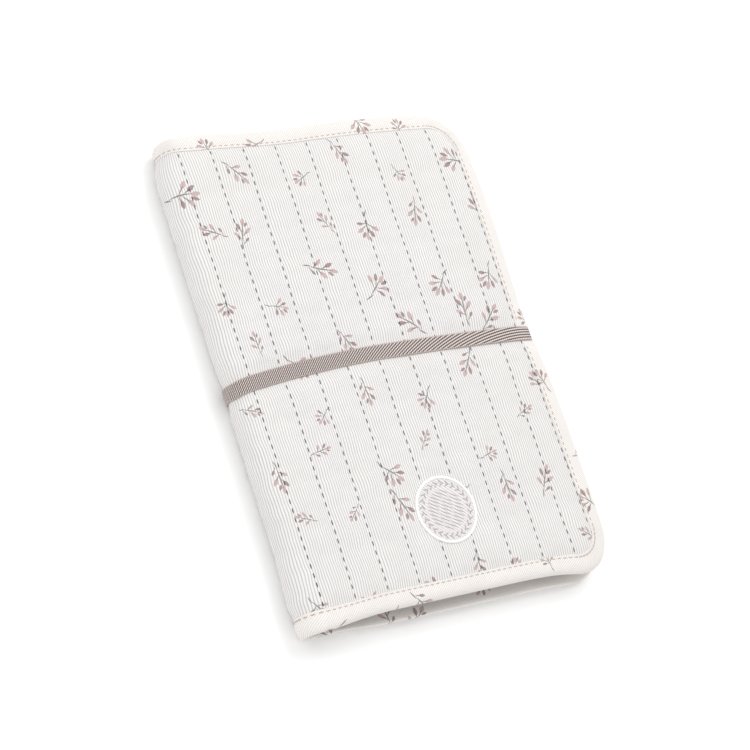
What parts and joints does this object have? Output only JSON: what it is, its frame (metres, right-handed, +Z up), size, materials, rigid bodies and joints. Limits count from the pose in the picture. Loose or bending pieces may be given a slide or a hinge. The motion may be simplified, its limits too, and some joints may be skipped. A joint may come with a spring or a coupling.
{
  "type": "changing pad",
  "caption": "Folded quilted changing pad with rounded spine, bias-bound edges, round badge and elastic closing loop; opens flat with a fold-out mat, head cushion and pockets.",
  "frame": {"origin": "middle of the closed pad's footprint, on the surface it lies on", "axes": "+Z up through the front cover, +Y along the spine away from the badge, +X from the spine to the fore-edge"},
  "size_m": [0.2354, 0.33, 0.0251],
  "materials": {
    "rib_cotton": "fine rib, soft",
    "wadding": "soft",
    "wipe_cloth": "smooth coated",
    "bias_binding": "diagonal rib",
    "badge_twill": "fine rib",
    "badge_thread": "satin stitch",
    "motif_thread": "satin stitch",
    "label_tape": "satin tape",
    "elastic": "woven"
  },
  "bodies": {
    "back_cover": {"back_outer_panel": "rib_cotton", "back_padding": "wadding", "back_lining": "wipe_cloth", "back_binding": "bias_binding", "head_cushion": "wipe_cloth"},
    "spine": {"spine_outer_panel": "rib_cotton", "spine_padding": "wadding", "spine_lining": "wipe_cloth", "spine_binding_near": "bias_binding", "spine_binding_far": "bias_binding"},
    "front_cover": {"front_outer_panel": "rib_cotton", "front_padding": "wadding", "front_lining": "wipe_cloth", "front_binding": "bias_binding", "badge_base": "badge_twill", "badge_ring": "badge_thread", "badge_motif": "motif_thread", "nappy_pocket": "rib_cotton", "nappy_pocket_hem": "bias_binding", "wipes_pocket": "rib_cotton", "wipes_pocket_hem": "bias_binding", "care_label": "label_tape"},
    "mat_panel_1": {"mat_1_top_sheet": "wipe_cloth", "mat_1_padding": "wadding", "mat_1_backing": "rib_cotton", "mat_1_binding": "bias_binding"},
    "mat_panel_2": {"mat_2_top_sheet": "wipe_cloth", "mat_2_padding": "wadding", "mat_2_backing": "rib_cotton", "mat_2_binding": "bias_binding"},
    "closing_band": {"elastic_band": "elastic"}
  },
  "joints": [
    {"name": "spine_fold", "type": "hinge", "parent": "back_cover", "child": "spine", "pos_m": [-0.11492, 0, 0.00258], "axis": [0, -1, 0], "range_deg": [0, 90]},
    {"name": "cover_fold", "type": "hinge", "parent": "spine", "child": "front_cover", "pos_m": [-0.11492, 0, 0.02142], "axis": [0, -1, 0], "range_deg": [0, 90]},
    {"name": "mat_fold_1", "type": "hinge", "parent": "back_cover", "child": "mat_panel_1", "pos_m": [0.1175, 0, 0.0062], "axis": [0, 1, 0], "range_deg": [0, 180]},
    {"name": "mat_fold_2", "type": "hinge", "parent": "mat_panel_1", "child": "mat_panel_2", "pos_m": [0.0099, 0, 0.0102], "axis": [0, -1, 0], "range_deg": [0, 180]},
    {"name": "band_slip", "type": "slide", "parent": "back_cover", "child": "closing_band", "axis": [0, 1, 0], "range_m": [0, 0.18], "deforming": ["elastic_band"]}
  ],
  "couplings": [
    {"joint": "cover_fold", "follows": "spine_fold", "ratio": 1},
    {"joint": "mat_fold_1", "follows": "spine_fold", "ratio": 2},
    {"joint": "mat_fold_2", "follows": "spine_fold", "ratio": 2}
  ]
}
